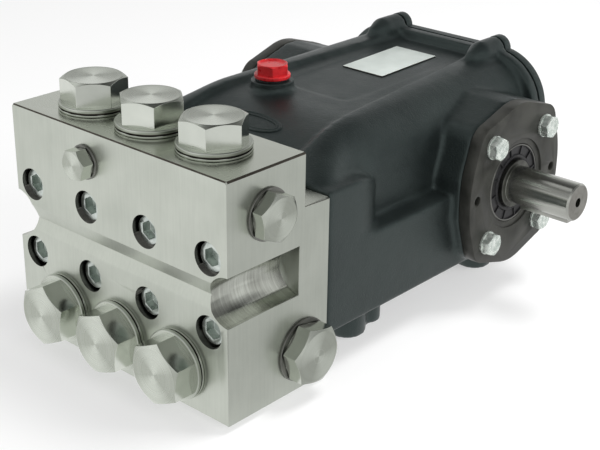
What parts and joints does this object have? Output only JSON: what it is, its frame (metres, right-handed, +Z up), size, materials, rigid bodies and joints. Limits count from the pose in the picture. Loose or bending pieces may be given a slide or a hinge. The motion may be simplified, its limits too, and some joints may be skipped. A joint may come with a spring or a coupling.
{
  "type": "triplex high-pressure plunger pump",
  "caption": "Horizontal plunger pump: stainless fluid head with hex valve caps on a black cast crankcase with side drive shaft, oil filler and four tapped feet.",
  "frame": {"origin": "centre of the four foot bolt holes, on the plane that the feet rest on", "axes": "+X along the drive shaft towards its free end, +Y from the fluid head to the rear cover, +Z up"},
  "size_m": [0.3688, 0.484, 0.238],
  "materials": {
    "case_paint": "satin black paint on a sand-cast surface",
    "head_steel": "ground and brushed stainless steel",
    "cap_steel": "turned stainless steel",
    "screw_steel": "plain socket screws",
    "ring_steel": "flat metal sealing rings",
    "cover_steel": "machined dark casting",
    "zinc_bolts": "zinc plated",
    "seal_rubber": "moulded nitrile",
    "shaft_steel": "ground steel",
    "key_steel": "drawn key steel",
    "cap_red": "moulded plastic",
    "sight_clear": "clear sight glass body",
    "plate_metal": "bare satin plate"
  },
  "bodies": {
    "pump": {"crankcase": "case_paint", "rear_cover": "case_paint", "rear_cover_bolts": "zinc_bolts", "bearing_cover_right": "cover_steel", "bearing_cover_left": "cover_steel", "right_cover_bolts": "zinc_bolts", "left_cover_bolts": "zinc_bolts", "shaft_seal": "seal_rubber", "oil_filler_cap": "cap_red", "oil_filler_seal": "seal_rubber", "oil_level_sight": "sight_clear", "oil_drain_plug": "zinc_bolts", "nameplate": "plate_metal", "head_block": "head_steel", "discharge_valve_cap_1": "cap_steel", "suction_valve_cap_1": "cap_steel", "discharge_valve_cap_2": "cap_steel", "suction_valve_cap_2": "cap_steel", "discharge_valve_cap_3": "cap_steel", "suction_valve_cap_3": "cap_steel", "upper_head_screw_1": "screw_steel", "upper_head_screw_2": "screw_steel", "upper_head_screw_3": "screw_steel", "upper_head_screw_4": "screw_steel", "lower_head_screw_1": "screw_steel", "lower_head_screw_2": "screw_steel", "lower_head_screw_3": "screw_steel", "lower_head_screw_4": "screw_steel", "outlet_plug": "cap_steel", "outlet_plug_ring": "ring_steel", "inlet_plug": "cap_steel", "inlet_plug_ring": "ring_steel", "gauge_plug": "cap_steel", "gauge_plug_ring": "ring_steel"},
    "crankshaft": {"crankshaft": "shaft_steel", "shaft_key": "key_steel"}
  },
  "joints": [
    {"name": "crankshaft_spin", "type": "hinge", "parent": "pump", "child": "crankshaft", "pos_m": [0, 0.062, 0.113], "axis": [1, 0, 0], "continuous": true}
  ]
}
